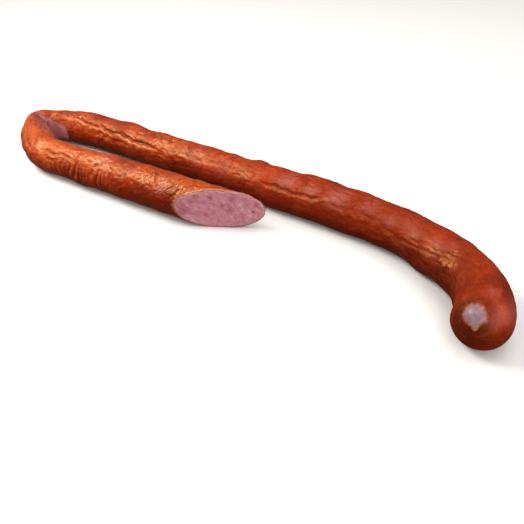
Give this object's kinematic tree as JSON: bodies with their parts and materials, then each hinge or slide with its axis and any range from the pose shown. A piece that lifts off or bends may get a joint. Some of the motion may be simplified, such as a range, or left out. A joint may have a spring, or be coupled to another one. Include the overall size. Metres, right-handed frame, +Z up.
{
  "type": "smoked kielbasa sausage",
  "caption": "Long smoked sausage in a wrinkled natural casing, bent back on itself like a hairpin, with a slanting knife cut at one end and a puckered round end at the other.",
  "frame": {"origin": "on the surface the sausage lies on, under the middle of its outer box", "axes": "+Z up; +X along the long arm, from the bend at -X to the round end at +X; the cut arm lies on the -Y side and its cut face looks to +X and -Y"},
  "size_m": [0.5039, 0.1009, 0.0345],
  "materials": {
    "smoked_casing": "natural hog casing smoked to a glossy orange red, darker underneath, wrinkled lengthwise and with short cross wrinkles; leather stands in for the casing's skin",
    "cut_meat": "moist pink cut face of coarse pork, with darker lean pieces and paler specks of fat; matte plastic stands in for the meat",
    "pale_knot": "unsmoked gathered end of the casing, dull pale lilac pink; leather stands in for the casing's skin"
  },
  "bodies": {
    "root": {"kielbasa": "smoked_casing"}
  },
  "joints": []
}
